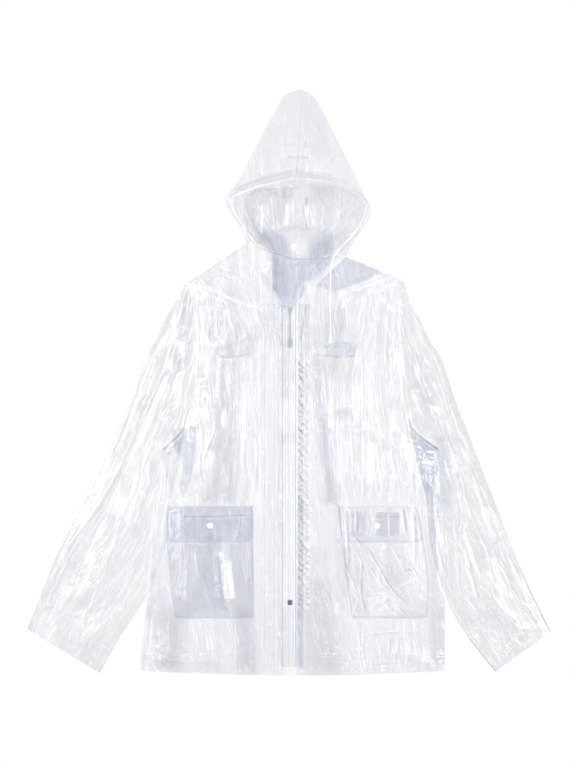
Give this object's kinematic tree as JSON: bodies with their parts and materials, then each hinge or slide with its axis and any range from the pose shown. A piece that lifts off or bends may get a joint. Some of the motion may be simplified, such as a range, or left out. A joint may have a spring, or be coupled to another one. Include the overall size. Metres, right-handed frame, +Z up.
{
  "type": "clear rain jacket",
  "caption": "Clear plastic rain jacket with a hood, front zip and flap pockets, laid flat on its back with its sleeves out.",
  "frame": {"origin": "on the surface the jacket lies on, under the middle of its outline", "axes": "+Y from hem to hood, +X towards the wearer's left sleeve, +Z up out of the surface"},
  "size_m": [0.994, 1.113, 0.0174],
  "materials": {
    "clear_film": "clear soft film, glossy",
    "clear_film_double": "clear soft film, glossy, doubled",
    "zip_tape": "translucent tape and moulded teeth",
    "zip_metal": "satin metal",
    "zip_dark": "dark plated metal, satin",
    "white_plastic": "white moulded plastic"
  },
  "bodies": {
    "jacket": {"back_panel": "clear_film", "back_cape": "clear_film", "front_right": "clear_film", "front_left": "clear_film", "sleeve_right": "clear_film", "sleeve_left": "clear_film", "hood_right": "clear_film", "hood_left": "clear_film", "neck_band_right": "clear_film_double", "neck_band_left": "clear_film_double", "placket_right": "clear_film_double", "placket_left": "clear_film_double", "pocket_right": "clear_film_double", "pocket_left": "clear_film_double", "pocket_flap_right": "clear_film_double", "pocket_flap_left": "clear_film_double", "hanger_loop": "clear_film_double", "zip_tape_right": "zip_tape", "zip_tape_left": "zip_tape", "zip_chain": "zip_tape", "zip_box": "zip_metal", "zip_slider": "zip_metal", "snap_flap_right": "white_plastic", "snap_flap_left": "white_plastic", "snap_neck_upper": "white_plastic", "snap_neck_lower": "white_plastic", "snap_back_neck": "white_plastic", "snap_hood": "white_plastic", "drawstring_right": "white_plastic", "drawstring_left": "white_plastic", "drawstring_tip_right": "white_plastic", "drawstring_tip_left": "white_plastic"},
    "pull_tab": {"zip_pull_tab": "zip_dark"}
  },
  "joints": [
    {"name": "pull_tab_hinge", "type": "hinge", "parent": "jacket", "child": "pull_tab", "pos_m": [0.0015, 0.1393, 0.0082], "axis": [-1, 0, 0], "range_deg": [0, 150]}
  ]
}
